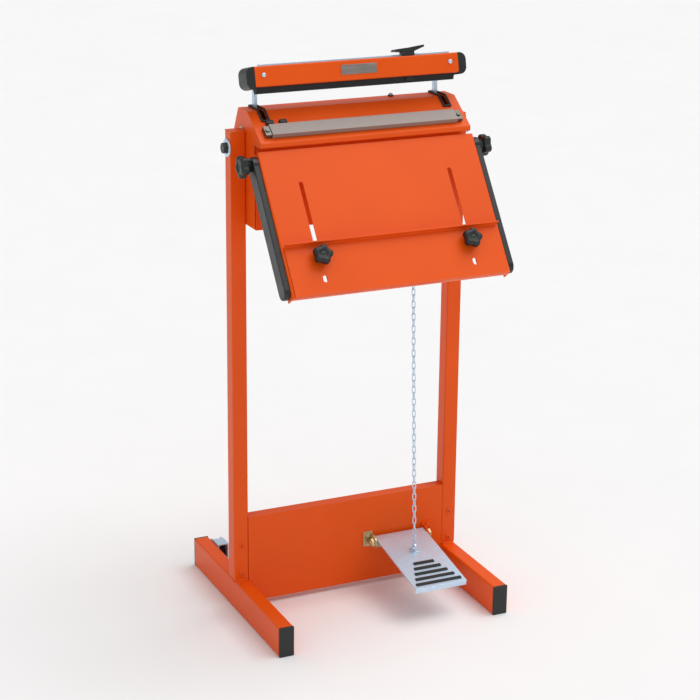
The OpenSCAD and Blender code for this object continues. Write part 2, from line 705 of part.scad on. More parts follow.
module return_spring() {
    // closed coils between a post on the head's floor and a hook on the crank's rear pin
    step = spring_wire + 0.4;
    hook_top = lug_at[1] - crank_pin_r - gap;
    count = floor((hook_top - 8 - spring_low) / step);
    high = spring_low + count * step;
    base = head_base_z + sheet_t;
    color([0.6, 0.6, 0.62]) translate([crank_x, lug_at[0], 0]) {
        for (i = [0 : count]) translate([0, 0, spring_low + i * step])
            rotate_extrude() translate([spring_r, 0]) circle(d = spring_wire, $fn = 16);
        translate([0, 0, base]) cylinder(h = spring_low - base, r = 3);
        translate([0, 0, spring_low - 2]) cylinder(h = 2, r = spring_r);
        translate([0, 0, high]) cylinder(h = 2, r = spring_r);
        translate([0, 0, high]) cylinder(h = hook_top - high, r = 2);
    }
}

// ---- jaw ----
module jaw_block(x0, x1, w0, w1, v0, v1) along_x(x0, x1)
    polygon([jaw_point(w0, v0), jaw_point(w1, v0), jaw_point(w1, v1), jaw_point(w0, v1)]);
module cross_shaft() color("silver") rod_x(-side_in - 1.5, side_in + 1.5, shaft_at, shaft_r);
module jaw_arm() {
    foot_y = shaft_at[0];
    back = -jaw_d / 2;
    low = jaw_point(back, strip_h + 3);
    high = jaw_point(back, strip_h + 25);
    color([0.8, 0.82, 0.82]) difference() {
        union() {
            rod_x(arm_x - arm_t / 2, arm_x + arm_t / 2, shaft_at, shaft_r + 5);
            along_x(arm_x - arm_t / 2, arm_x + arm_t / 2) polygon([
                [foot_y - arm_w / 2, shaft_at[1]], [foot_y + arm_w / 2, shaft_at[1]],
                [foot_y + arm_w / 2, low[1] - 8], jaw_point(back - 9, strip_h + 25), high, low,
                [foot_y - arm_w / 2, low[1] - 4]]);
        }
        rod_x(arm_x - arm_t, arm_x + arm_t, shaft_at, shaft_r + fit);
    }
}
module arm_left() mirror([1, 0, 0]) jaw_arm();
module arm_right() jaw_arm();
module crank() {
    x0 = crank_x - crank_t / 2 - 6;
    x1 = x0 + crank_t;
    dir = unit(crank_pin - shaft_at);
    side = [-dir[1], dir[0]];
    color("silver") {
        difference() {
            union() {
                rod_x(x0, x1, shaft_at, shaft_r + 6);
                rod_x(x0, x1, crank_pin, crank_boss);
                rod_x(x0, x1, lug_at, lug_boss);
                along_x(x0, x1) polygon([crank_pin + crank_boss * side, crank_pin - crank_boss * side,
                    lug_at - lug_boss * side, lug_at + lug_boss * side]);
            }
            rod_x(x0 - 1, x1 + 1, shaft_at, shaft_r + fit);
        }
        rod_x(x1, crank_x + 8, crank_pin, crank_pin_r);
        rod_x(x1, crank_x + 8, lug_at, crank_pin_r);
    }
}
module jaw_bar() {
    half = jaw_l / 2;
    color("orangered") difference() {
        jaw_block(-half, half, -jaw_d / 2, jaw_d / 2, strip_h, strip_h + jaw_h);
        jaw_block(-half - 1, half + 1, -jaw_d / 2 + jaw_wall, jaw_d / 2 - jaw_wall,
                  strip_h + jaw_wall, strip_h + jaw_h - jaw_wall);
        jaw_block(-half + 12, half - 12, blade_at - blade_slot / 2, blade_at + blade_slot / 2,
                  0, strip_h + jaw_h + 1);
        at_jaw_screws() translate([0, 0, -jaw_wall - 1]) cylinder(h = jaw_wall + 2, r = 1.6 + bolt_gap);
    }
}
// Puts children at the screws in the front of the jaw, +Z outwards
module at_jaw_screws() mirrored() jaw_frame() translate([jaw_screw_x, -jaw_d / 2, strip_h + jaw_h * 0.55])
    rotate([90, 0, 0]) children();
// End caps with rounded outer corners, seen from the front
module jaw_end_caps() {
    half = jaw_l / 2;
    r = 11;
    top = strip_h + jaw_h;
    color([0.08, 0.09, 0.09]) mirrored() {
        intersection() {
            jaw_block(half, half + jaw_cap_l, -jaw_d / 2, jaw_d / 2, strip_h - 3, top);
            jaw_frame() translate([0, jaw_d, 0]) rotate([90, 0, 0]) linear_extrude(2 * jaw_d) {
                translate([half, strip_h - 3]) square([jaw_cap_l - r, jaw_h + 3]);
                translate([half, strip_h - 3 + r]) square([jaw_cap_l, jaw_h + 3 - 2 * r]);
                for (v = [strip_h - 3 + r, top - r]) translate([half + jaw_cap_l - r, v]) circle(r = r);
            }
        }
        jaw_block(half - 10, half, -jaw_d / 2 + jaw_wall + gap, blade_at - blade_slot / 2 - 1,
                  strip_h + jaw_wall + gap, top - jaw_wall - gap);
    }
}
// The jaw's own frame: x along it, +Y backwards, +Z up from the strip's lower face
module jaw_frame() translate([0, jaw_point(0, 0)[0], jaw_point(0, 0)[1]])
    rotate([deck_tilt - jaw_swing, 0, 0]) children();
module jaw_strip() {
    half = jaw_l / 2 - 4;
    color([0.1, 0.1, 0.11]) {
        jaw_block(-half, half, -strip_w / 2, strip_w / 2, 4, strip_h);
        jaw_block(-half, half, -strip_w / 2 + 2, strip_w / 2 - 2, 0.2, 4);
    }
}
module jaw_screws() {
    color("silver") at_jaw_screws() {
        cylinder(h = 1.8, r = 3.5);
        translate([0, 0, -jaw_wall - 3]) cylinder(h = jaw_wall + 3, r = 1.6);
    }
}
module jaw_plate() color([0.75, 0.75, 0.76])
    jaw_block(-30, 30, jaw_d / 2, jaw_d / 2 + 0.8, strip_h + 9, strip_h + 24);
module cutter_rail() {
    half = jaw_l / 2 - 10;
    edge = blade_at - blade_slot / 2 - 1;
    color([0.72, 0.73, 0.74])
        jaw_block(-half, half, edge - rail_w_top, edge, strip_h + jaw_h, strip_h + jaw_h + rail_h);
}
module cutter() {
    top = strip_h + jaw_h;
    edge = blade_at - blade_slot / 2;
    stem = 9;
    color([0.07, 0.08, 0.08]) {
        difference() {
            jaw_block(cutter_x - stem, cutter_x + stem, edge - 10, blade_at + 5, top + gap, top + 8);
            jaw_block(cutter_x - stem - 1, cutter_x + stem + 1, edge - rail_w_top - 1 - gap, edge - 1 + gap,
                      top - 1, top + rail_h + gap);
        }
        cutter_wing();
    }
    color([0.75, 0.76, 0.78])
        jaw_block(cutter_x - 6, cutter_x + 6, blade_at - 0.5, blade_at + 0.5, 3, top + gap);
}
// The wing of the cutter's grip, rising to the right
module cutter_wing() jaw_frame() translate([cutter_x, 0, strip_h + jaw_h]) rotate([90, 0, 0])
    translate([0, 0, blade_at - blade_slot / 2 - 10]) linear_extrude(16.5)
    polygon([[-24, 8], [-9, 6.5], [9, 6.5], [27, 12.5], [26, 15.5], [0, 12.5], [-22, 11]]);

// ---- table ----
module table_slots(n0, n1) for (x = [-shelf_knob_x, shelf_knob_x])
    on_table(x, (slot_top_u + slot_low_u) / 2, n0)
        linear_extrude(n1 - n0) slot_2d(slot_w, slot_top_u - slot_low_u);
module table_block(x0, x1, u0, u1, n0, n1) along_x(x0, x1)
    polygon([at_table(u0, n0), at_table(u1, n0), at_table(u1, n1), at_table(u0, n1)]);
module table_panel() {
    half = table_w / 2;
    color("orangered") difference() {
        union() {
            table_block(-half, half, -table_l, table_top_u, face_n - skin_t, face_n);
            table_block(-half, half, -table_l, -table_l + skin_t, face_n - 12, face_n - skin_t);
            mirrored() table_block(half - skin_t, half, -table_l, table_top_u - 4, -8, face_n - skin_t);
        }
        table_slots(face_n - skin_t - 1, face_n + 1);
        rod_x(-half - 1, half + 1, pivot, pivot_r + bolt_gap);
    }
}
module table_rail() {
    x0 = table_w / 2;
    x1 = x0 + rail_t;
    half = rail_w / 2;
    color([0.09, 0.1, 0.1]) difference() {
        union() {
            table_block(x0, x1, rail_low_u + half, 0, -half, half);
            rod_x(x0, x1, pivot, half + 1);
            rod_x(x0, x1, at_table(rail_low_u + half, 0), half);
        }
        rod_x(x0 - 1, x1 + 1, pivot, pivot_r + fit);
    }
}
module table_rail_left() mirror([1, 0, 0]) table_rail();
module table_rail_right() table_rail();
// Clamp knob on the table's pivot; its stud runs through the rail into the side plate
module table_knob() {
    x0 = table_w / 2 + rail_t + gap;
    color([0.08, 0.09, 0.09]) {
        translate([x0, pivot[0], pivot[1]]) rotate([0, 90, 0]) star_knob(table_knob_r, 19, 0, 1);
        rod_x(side_in - 6, x0, pivot, pivot_r);
    }
}
module table_knob_left() mirror([1, 0, 0]) table_knob();
module table_knob_right() table_knob();

// ---- bag shelf ----
module shelf() {
    half = shelf_w / 2;
    n1 = shelf_n + shelf_t;
    color("orangered") difference() {
        union() {
            table_block(-half, half, shelf_low_u, shelf_top_u, shelf_n, n1);
            table_block(-half, half, shelf_top_u - shelf_t, shelf_top_u, shelf_n, n1 + lip_out);
        }
        for (x = [-shelf_knob_x, shelf_knob_x]) {
            on_table(x, shelf_knob_u, shelf_n - 1) cylinder(h = shelf_t + 2, r = stud_r + fit);
            on_table(x, shelf_knob_u - window_drop, shelf_n - 1)
                linear_extrude(shelf_t + 2) slot_2d(slot_w, window_l);
        }
    }
}
module shelf_knob(x) {
    n1 = shelf_n + shelf_t + gap;
    back = n1 - face_n + skin_t + 6;
    color([0.08, 0.09, 0.09]) on_table(x, shelf_knob_u, n1) {
        star_knob(knob_r, 18, back, stud_r);
        translate([0, 0, -back]) cylinder(h = 5, r = 6.5);
    }
}
module shelf_knob_left() shelf_knob(-shelf_knob_x);
module shelf_knob_right() shelf_knob(shelf_knob_x);

// ---- nodes ----
module placed() translate([0, -mid_y, 0]) children();
placed() foot_left();
placed() foot_right();
placed() foot_end_caps();
placed() upright_left();
placed() upright_right();
placed() upright_plugs();
placed() upright_screws();
placed() cross_panel();
placed() wheel_brackets();
placed() wheel_axles();
placed() rear_wheel_left();
placed() rear_wheel_right();
placed() pedal_bracket_left();
placed() pedal_bracket_right();
placed() pedal_pin();
placed() pedal();
placed() pedal_strips();
placed() pedal_eye();
placed() chain();
placed() side_plate_left();
placed() side_plate_right();
placed() head_shell();
placed() base_cover();
placed() rear_cover();
placed() cover_screws();
placed() head_bolts();
placed() pilot_lamp();
placed() sealing_bar();
placed() heating_band();
placed() bar_tape();
placed() element_clamps();
placed() element_terminals();
placed() arm_grommets();
placed() shaft_bushes();
placed() transformer();
placed() timer_board();
placed() micro_switch();
placed() power_switch();
placed() timer_knob();
placed() cable_gland();
placed() return_spring();
placed() cross_shaft();
placed() arm_left();
placed() arm_right();
placed() crank();
placed() jaw_bar();
placed() jaw_end_caps();
placed() jaw_strip();
placed() jaw_screws();
placed() jaw_plate();
placed() cutter_rail();
placed() cutter();
placed() table_panel();
placed() table_rail_left();
placed() table_rail_right();
placed() table_knob_left();
placed() table_knob_right();
placed() shelf();
placed() shelf_knob_left();
placed() shelf_knob_right();
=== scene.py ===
"""Looks of the pedal-operated bag sealer on its stand. Metres; -Y is the front."""
import json
import math
import random
import bmesh
import bpy
from mathutils import Matrix, Quaternion, Vector


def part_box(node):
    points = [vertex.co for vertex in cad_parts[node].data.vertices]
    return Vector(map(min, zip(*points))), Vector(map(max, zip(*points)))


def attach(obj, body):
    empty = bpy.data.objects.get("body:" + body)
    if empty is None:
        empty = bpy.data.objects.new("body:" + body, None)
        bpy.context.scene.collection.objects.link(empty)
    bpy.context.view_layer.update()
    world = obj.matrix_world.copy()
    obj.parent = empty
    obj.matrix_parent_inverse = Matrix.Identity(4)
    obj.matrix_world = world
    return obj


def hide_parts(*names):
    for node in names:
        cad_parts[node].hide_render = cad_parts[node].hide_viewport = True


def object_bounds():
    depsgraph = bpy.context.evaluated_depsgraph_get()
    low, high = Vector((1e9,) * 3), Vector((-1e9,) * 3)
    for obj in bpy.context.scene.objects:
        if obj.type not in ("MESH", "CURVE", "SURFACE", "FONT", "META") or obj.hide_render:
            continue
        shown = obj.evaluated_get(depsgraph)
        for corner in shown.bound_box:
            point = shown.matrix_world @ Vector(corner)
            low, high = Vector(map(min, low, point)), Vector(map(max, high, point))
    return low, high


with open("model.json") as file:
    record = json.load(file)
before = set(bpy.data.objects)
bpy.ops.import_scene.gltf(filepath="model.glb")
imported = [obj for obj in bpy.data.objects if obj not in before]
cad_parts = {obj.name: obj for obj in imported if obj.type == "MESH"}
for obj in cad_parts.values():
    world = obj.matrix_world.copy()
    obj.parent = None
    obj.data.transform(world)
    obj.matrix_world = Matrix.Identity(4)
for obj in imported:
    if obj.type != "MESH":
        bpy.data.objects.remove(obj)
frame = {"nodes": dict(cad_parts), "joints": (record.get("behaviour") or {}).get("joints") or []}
CAD_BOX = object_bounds()
NODES = frame["nodes"]
JOINTS = {joint["name"]: joint for joint in frame["joints"]}


def anchor(joint):
    """Where a joint's axis lies, at rest."""
    return Vector(JOINTS[joint]["pos_m"])


# ---- sizes shared by several pieces ----
SHAFT = anchor("jaw_swing")
PIVOT = anchor("table_tilt")
CHAIN_EYE = anchor("chain_swing")
WHEELS = {side: anchor(f"rear_wheel_{side}_spin") for side in ("left", "right")}
TUBE_IN, TUBE_FRONT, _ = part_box("upright_right")[0]
TUBE_OUT, TUBE_BACK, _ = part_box("upright_right")[1]
TUBE_WALL = 0.002
HEAD_SHEET = 0.0015
TABLE_SHEET = 0.002
FOOT_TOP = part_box("foot_right")[1].z
TABLE_TILT = math.radians(36)
DECK_TILT = math.radians(34.3)
JAW_SWING = math.radians(48)
JAW_TURN = Matrix.Rotation(DECK_TILT - JAW_SWING, 3, "X")
JAW_FRONT = JAW_TURN @ Vector((0, -1, 0))
JAW_UP = JAW_TURN @ Vector((0, 0, 1))
TABLE_OUT = Vector((0, -math.cos(TABLE_TILT), math.sin(TABLE_TILT)))
SIDES = {"left": -1, "right": 1}
TAU = 2 * math.pi


# ---- materials ----
class Finish:
    """One material, with short calls for the nodes that its pattern needs."""

    def __init__(self, name, **sockets):
        self.material = bpy.data.materials.new(name)
        self.material.use_nodes = True
        self.tree = self.material.node_tree
        self.shader = self.tree.nodes["Principled BSDF"]
        for socket, value in sockets.items():
            self.shader.inputs[socket.replace("_", " ")].default_value = value
        self.place = self.node("ShaderNodeTexCoord").outputs["Object"]

    def node(self, kind, **inputs):
        made = self.tree.nodes.new(kind)
        for socket, value in inputs.items():
            self.feed(made.inputs[socket.replace("_", " ")], value)
        return made

    def feed(self, socket, value):
        if isinstance(value, bpy.types.NodeSocket):
            self.tree.links.new(value, socket)
        else:
            socket.default_value = value

    def stretched(self, stretch):
        return self.node("ShaderNodeMapping", Vector=self.place, Scale=stretch).outputs[0]

    def noise(self, scale, detail=2.0, stretch=(1, 1, 1)):
        return self.node("ShaderNodeTexNoise", Vector=self.stretched(stretch), Scale=scale,
                         Detail=detail).outputs["Fac"]

    def cells(self, scale):
        return self.node("ShaderNodeTexVoronoi", Vector=self.place, Scale=scale)

    def bands(self, scale, direction, turn=(0, 0, 0)):
        mapping = self.node("ShaderNodeMapping", Vector=self.place, Rotation=turn)
        wave = self.node("ShaderNodeTexWave", Vector=mapping.outputs[0], Scale=scale)
        wave.bands_direction = direction
        return wave.outputs["Fac"]

    def math(self, operation, a, b):
        made = self.tree.nodes.new("ShaderNodeMath")
        made.operation = operation
        self.feed(made.inputs[0], a)
        self.feed(made.inputs[1], b)
        return made.outputs[0]

    def ramp(self, factor, low, high, start=0.0, end=1.0):
        """A number that goes from start to end as factor goes from low to high."""
        return self.node("ShaderNodeMapRange", Value=factor, From_Min=low, From_Max=high,
                         To_Min=start, To_Max=end).outputs[0]

    def mix(self, factor, a, b):
        made = self.tree.nodes.new("ShaderNodeMix")
        made.data_type = "RGBA"
        self.feed(made.inputs["Factor"], factor)
        self.feed(made.inputs[6], a)
        self.feed(made.inputs[7], b)
        return made.outputs[2]

    def edges(self, radius):
        """1 on sharp edges, 0 on flat faces."""
        rounded = self.node("ShaderNodeBevel", Radius=radius)
        rounded.samples = 4
        flat = self.node("ShaderNodeNewGeometry").outputs["Normal"]
        dot = self.tree.nodes.new("ShaderNodeVectorMath")
        dot.operation = "DOT_PRODUCT"
        self.feed(dot.inputs[0], rounded.outputs[0])
        self.feed(dot.inputs[1], flat)
        return self.ramp(dot.outputs["Value"], 1.0, 0.9)

    def colour(self, value):
        self.feed(self.shader.inputs["Base Color"], value)

    def roughness(self, value):
        self.feed(self.shader.inputs["Roughness"], value)

    def bump(self, height, distance, strength=1.0):
        made = self.node("ShaderNodeBump", Height=height, Distance=distance, Strength=strength)
        self.feed(self.shader.inputs["Normal"], made.outputs[0])


def rgb(red, green, blue):
    return (red, green, blue, 1.0)


def orange_paint():
    finish = Finish("orange_paint", Coat_Weight=0.05, Coat_Roughness=0.2, Specular_IOR_Level=0.18)
    cloud = finish.noise(7, 3)
    peel = finish.noise(520, 2)
    speck = finish.noise(2600, 1)
    paint = finish.mix(finish.ramp(cloud, 0.3, 0.7), rgb(0.79, 0.088, 0.003), rgb(0.85, 0.100, 0.005))
    # Lighter orange along every edge: a painted highlight that all edges get, with rubbed wear added in
    # noise patches.
    scuffed = finish.ramp(finish.noise(45, 4), 0.52, 0.75)
    edge_wear_and_highlight = finish.math("MULTIPLY", finish.edges(0.0012), finish.math("ADD", scuffed, 0.25))
    finish.colour(finish.mix(finish.math("MULTIPLY", edge_wear_and_highlight, 0.55), paint, rgb(0.84, 0.24, 0.08)))
    finish.roughness(finish.ramp(finish.math("ADD", cloud, peel), 0.6, 1.4, 0.3, 0.44))
    finish.bump(finish.math("ADD", peel, finish.math("MULTIPLY", speck, 0.3)), 0.00012, 0.55)
    return finish.material


def moulded_black(name, base, roughness, grain):
    finish = Finish(name, Specular_IOR_Level=0.45)
    cloud = finish.noise(60, 3)
    edge_wear_and_highlight = finish.math("MULTIPLY", finish.edges(0.0008), finish.ramp(finish.noise(120, 3), 0.4, 0.7))
    dark = finish.mix(cloud, rgb(*base), rgb(*[1.7 * channel for channel in base]))
    finish.colour(finish.mix(finish.math("MULTIPLY", edge_wear_and_highlight, 0.5), dark, rgb(0.09, 0.095, 0.095)))
    finish.roughness(finish.ramp(cloud, 0.3, 0.7, roughness - 0.06, roughness + 0.08))
    finish.bump(finish.noise(grain, 3), 0.0001, 0.6)
    return finish.material


def plated(name, light, dark, roughness, spangle):
    """Zinc plating: fine crystals, faint streaks from handling."""
    finish = Finish(name, Metallic=0.7)
    crystals = finish.cells(spangle).outputs["Color"]
    grey = finish.node("ShaderNodeRGBToBW", Color=crystals).outputs[0]
    streak = finish.noise(90, 4, (1, 1, 6))
    mixed = finish.math("ADD", finish.math("MULTIPLY", grey, 0.5), finish.math("MULTIPLY", streak, 0.5))
    finish.colour(finish.mix(finish.ramp(mixed, 0.25, 0.75), rgb(*dark), rgb(*light)))
    finish.roughness(finish.ramp(mixed, 0.25, 0.75, roughness + 0.1, roughness - 0.06))
    finish.bump(finish.noise(1400, 3), 0.00005, 0.4)
    return finish.material


def brushed(name, light, dark, roughness, stretch):
    """Metal with fine lines along its length."""
    finish = Finish(name, Metallic=1.0)
    lines = finish.noise(500, 4, stretch)
    stain = finish.noise(30, 3)
    mixed = finish.math("ADD", lines, stain)
    finish.colour(finish.mix(finish.ramp(mixed, 0.6, 1.4), rgb(*dark), rgb(*light)))
    finish.roughness(finish.ramp(lines, 0.3, 0.7, roughness - 0.07, roughness + 0.08))
    finish.bump(lines, 0.00006, 0.5)
    return finish.material


def tape_cloth():
    """Glass cloth with a non-stick coating, browned along the heating band."""
    finish = Finish("tape", Specular_IOR_Level=0.6, Sheen_Weight=0.15, Coat_Weight=0.25, Coat_Roughness=0.3)
    warp = finish.bands(330, "X")
    weft = finish.bands(330, "Y", (-DECK_TILT, 0, 0))
    weave = finish.math("MAXIMUM", warp, weft)
    stain = finish.noise(18, 4, (0.25, 1, 1))
    cloth = finish.mix(finish.ramp(stain, 0.3, 0.7), rgb(0.19, 0.142, 0.118), rgb(0.27, 0.210, 0.180))
    finish.colour(finish.mix(finish.math("MULTIPLY", weave, 0.25), cloth, rgb(0.34, 0.28, 0.25)))
    finish.roughness(finish.ramp(stain, 0.3, 0.7, 0.32, 0.45))
    finish.bump(weave, 0.00008, 0.5)
    return finish.material


def laminated_iron():
    finish = Finish("iron_core", Metallic=0.8)
    sheets = finish.bands(160, "X")
    finish.colour(finish.mix(sheets, rgb(0.05, 0.05, 0.055), rgb(0.16, 0.155, 0.15)))
    finish.roughness(finish.ramp(finish.noise(80), 0.3, 0.7, 0.4, 0.6))
    finish.bump(sheets, 0.0002)
    return finish.material


def circuit_board():
    finish = Finish("circuit_board", Coat_Weight=0.5)
    tracks = finish.ramp(finish.cells(260).outputs["Distance"], 0.2, 0.24)
    finish.colour(finish.mix(tracks, rgb(0.01, 0.09, 0.03), rgb(0.02, 0.17, 0.06)))
    finish.roughness(finish.ramp(finish.noise(150), 0.3, 0.7, 0.35, 0.5))
    finish.bump(tracks, 0.00004)
    return finish.material


def lamp_lens():
    finish = Finish("lamp_lens", Transmission_Weight=0.45, IOR=1.46)
    ribs = finish.bands(420, "X")
    finish.colour(finish.mix(ribs, rgb(0.66, 0.70, 0.66), rgb(0.85, 0.88, 0.84)))
    finish.roughness(finish.ramp(finish.noise(300), 0.3, 0.7, 0.12, 0.25))
    finish.bump(ribs, 0.0001, 0.6)
    return finish.material


MATERIALS = {
    "orange_paint": orange_paint(),
    "black_plastic": moulded_black("black_plastic", (0.009, 0.011, 0.011), 0.42, 1900),
    "black_rubber": moulded_black("black_rubber", (0.012, 0.013, 0.013), 0.62, 1100),
    "black_steel": moulded_black("black_steel", (0.011, 0.012, 0.013), 0.36, 700),
    "zinc_steel": plated("zinc_steel", (0.66, 0.82, 0.96), (0.57, 0.72, 0.87), 0.42, 260),
    "yellow_zinc": plated("yellow_zinc", (0.74, 0.60, 0.30), (0.50, 0.42, 0.26), 0.3, 190),
    "bar_alloy": brushed("bar_alloy", (0.50, 0.49, 0.47), (0.34, 0.33, 0.32), 0.36, (0.05, 1, 1)),
    "tape": tape_cloth(),
    "band_metal": brushed("band_metal", (0.62, 0.58, 0.52), (0.36, 0.31, 0.26), 0.32, (0.05, 1, 1)),
    "clamp_metal": brushed("clamp_metal", (0.25, 0.25, 0.22), (0.11, 0.11, 0.10), 0.42, (1, 1, 1)),
    "bronze": brushed("bronze", (0.62, 0.40, 0.17), (0.42, 0.26, 0.11), 0.36, (1, 1, 1)),
    "iron_core": laminated_iron(),
    "circuit_board": circuit_board(),
    "lamp_lens": lamp_lens(),
    "plate_metal": brushed("plate_metal", (0.40, 0.36, 0.33), (0.27, 0.24, 0.22), 0.42, (0.06, 1, 1)),
}


# ---- mesh helpers ----
def frame_at(origin, along, across=None):
    """The matrix that puts local +Z along a direction, and local +X near another one."""
    z = Vector(along).normalized()
    x = Vector(across) if across is not None else z.orthogonal()
    x = (x - x.dot(z) * z).normalized()
    y = z.cross(x)
    return Matrix.Translation(Vector(origin)) @ Matrix((x, y, z)).transposed().to_4x4()


def shade(bm):
    """Smooth faces, with the sharper edges kept crisp."""
    crisp = math.radians(35)
    for face in bm.faces:
        face.smooth = True
    for edge in bm.edges:
        edge.smooth = not edge.is_manifold or edge.calc_face_angle(0) < crisp


def add_piece(name, bm, slot, body, replaces=()):
    """Makes a piece from a bmesh, with its material, that rides on a body."""
    shade(bm)
    mesh = bpy.data.meshes.new(name)
    bm.to_mesh(mesh)
    bm.free()
    piece = bpy.data.objects.new(name, mesh)
    bpy.context.collection.objects.link(piece)
    mesh.materials.append(MATERIALS[slot])
    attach(piece, body)
    if replaces:
        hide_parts(*replaces)
    return piece


def bevelled(piece, width, segments=2):
    """Rounds every crisp edge of a piece a little, without changing its mesh."""
    bevel = piece.modifiers.new("edge", "BEVEL")
    bevel.width = width
    bevel.segments = segments
    bevel.limit_method = "ANGLE"
    bevel.angle_limit = math.radians(30)
    normals = piece.modifiers.new("normals", "WEIGHTED_NORMAL")
    normals.keep_sharp = True


def soften(node, slot, width=0.0005, segments=2):
    """Gives a CAD node its finish and small rounded edges."""
    piece = NODES[node]
    piece.data.materials.clear()
    piece.data.materials.append(MATERIALS[slot])
    for polygon in piece.data.polygons:
        polygon.material_index = 0
    if width:
        weld = piece.modifiers.new("weld", "WELD")
        weld.merge_threshold = 1e-5
        flat = piece.modifiers.new("flat", "DECIMATE")
        flat.decimate_type = "DISSOLVE"
        flat.angle_limit = math.radians(0.5)
        bevelled(piece, width, segments)
    return piece


def rings(bm, levels, place, sides=48, closed=True):
    """Joins rings of points into a skin. A level is a height and a radius, or a radius for each side."""
    loops = []
    for height, radius in levels:
        loop = []
        for i in range(sides):
            r = radius[i] if isinstance(radius, (list, tuple)) else radius
            angle = TAU * i / sides
            loop.append(bm.verts.new(place @ Vector((r * math.cos(angle), r * math.sin(angle), height))))
        loops.append(loop)
    for low, high in zip(loops, loops[1:]):
        for i in range(sides):
            j = (i + 1) % sides
            bm.faces.new((low[i], low[j], high[j], high[i]))
    if closed:
        bm.faces.new(list(reversed(loops[0])))
        bm.faces.new(loops[-1])
    else:
        for i in range(sides):
            j = (i + 1) % sides
            bm.faces.new((loops[-1][i], loops[-1][j], loops[0][j], loops[0][i]))


def hexagon(across, limit=None):
    """The radii of a hexagon, cut back to a round limit where a chamfer asks for it."""
    sides = 48
    out = []
    for i in range(sides):
        angle = TAU * i / sides % (math.pi / 3) - math.pi / 6
        corner = across / 2 / math.cos(angle)
        out.append(min(corner, limit) if limit else corner)
    return out


def lobes(radius):
    """The radii of a round knob with five lobes, its hollows blended."""
    count = 5
    sides = 120
    spread = 3
    lobe_r = 0.34 * radius
    lobe_at = 0.66 * radius
    raw = []
    for i in range(sides):
        best = 0.78 * radius
        for k in range(count):
            turn = TAU * i / sides - TAU * k / count
            reach = lobe_at * math.cos(turn)
            aside = lobe_at * math.sin(turn)
            if reach > 0 and abs(aside) < lobe_r:
                best = max(best, reach + math.sqrt(lobe_r ** 2 - aside ** 2))
        raw.append(best)
    return [sum(raw[(i + k) % sides] for k in range(-spread, spread + 1)) / (2 * spread + 1)
            for i in range(sides)]


def inset(radii, by):
    return [radius - by for radius in radii]


def tube(bm, points, radius, sides, closed=False):
    """A round wire along a path. The radius may be one number, or one for each point."""
    count = len(points)
    up = None
    loops = []
    for i, point in enumerate(points):
        before = points[i - 1] if closed or i else points[0]
        after = points[(i + 1) % count] if closed or i + 1 < count else points[-1]
        along = (Vector(after) - Vector(before)).normalized()
        if up is None:
            up = along.orthogonal()
        up = (up - up.dot(along) * along).normalized()
        aside = along.cross(up)
        r = radius[i] if isinstance(radius, (list, tuple)) else radius
        loops.append([bm.verts.new(Vector(point) + r * (math.cos(TAU * k / sides) * up
                                                         + math.sin(TAU * k / sides) * aside))
                      for k in range(sides)])
    pairs = list(zip(loops, loops[1:]))
    if closed:
        pairs.append((loops[-1], loops[0]))
    for low, high in pairs:
        for k in range(sides):
            m = (k + 1) % sides
            bm.faces.new((low[k], low[m], high[m], high[k]))
    if not closed:
        bm.faces.new(list(reversed(loops[0])))
        bm.faces.new(loops[-1])


def prism(bm, outline, low, high, place):
    """An extruded outline between two heights."""
    bottom = [bm.verts.new(place @ Vector((x, y, low))) for x, y in outline]
    top = [bm.verts.new(place @ Vector((x, y, high))) for x, y in outline]
    bm.faces.new(list(reversed(bottom)))
    bm.faces.new(top)
    for i in range(len(outline)):
        j = (i + 1) % len(outline)
        bm.faces.new((bottom[i], bottom[j], top[j], top[i]))


def face_width(face, along):
    """How wide a face is across a direction that lies in it."""
    across = face.normal.cross(along)
    spans = [vert.co.dot(across) for vert in face.verts]
    return max(spans) - min(spans)


def bends(bm, thickness):
    """The folds of a sheet or tube: long edges with a wide face on both sides."""
    shortest = 0.1
    found = []
    for edge in bm.edges:
        along = edge.verts[1].co - edge.verts[0].co
        if not edge.is_manifold or along.length < shortest:
            continue
        turn = edge.calc_face_angle_signed(0)
        if abs(turn) < math.radians(12):
            continue
        if min(face_width(face, along.normalized()) for face in edge.link_faces) < 1.6 * thickness:
            continue
        found.append((edge, turn))
    return found


def edge_middle(edge):
    return (edge.verts[0].co + edge.verts[1].co) / 2


def bent(node, body, thickness, inner):
    """Stands for a folded sheet or a tube of the CAD: the same solid with true bend radii."""
    bm = welded(node)
    bmesh.ops.dissolve_limit(bm, angle_limit=math.radians(0.5), verts=bm.verts, edges=bm.edges)
    todo = [(edge_middle(fold), turn) for fold, turn in bends(bm, thickness)]
    for middle, turn in todo:
        radius = inner + thickness if turn > 0 else inner
        left = [fold for fold, _ in bends(bm, thickness)]
        near = min(left, key=lambda fold: (edge_middle(fold) - middle).length)
        bmesh.ops.bevel(bm, geom=[near, *near.verts], offset=radius * math.tan(abs(turn) / 2),
                        offset_type="OFFSET", segments=5, profile=0.5, affect="EDGES",
                        clamp_overlap=False, loop_slide=True)
    bevelled(add_piece(f"{node}_bent", bm, "orange_paint", body, [node]), 0.00035)


# ---- stand ----
def stand():
    for side in SIDES:
        bent(f"foot_{side}", "stand_and_head", TUBE_WALL, 0.001)
        bent(f"upright_{side}", "stand_and_head", TUBE_WALL, 0.001)
    soften("cross_panel", "orange_paint", 0.0006)
    soften("foot_end_caps", "black_plastic", 0.0012, 3)
    soften("upright_plugs", "orange_paint", 0.0005)


def weld_bead(bm, start, end):
    """A run of overlapping weld ripples between two points."""
    radius = 0.0021
    pitch = 0.0022
    start = Vector(start)
    end = Vector(end)
    steps = max(8, int((end - start).length / pitch * 4))
    points = [start.lerp(end, i / steps) for i in range(steps + 1)]
    sizes = [radius * (0.86 + 0.14 * abs(math.sin(math.pi * i / 4))) for i in range(steps + 1)]
    sizes[0] = sizes[-1] = 0.4 * radius
    tube(bm, points, sizes, 10)


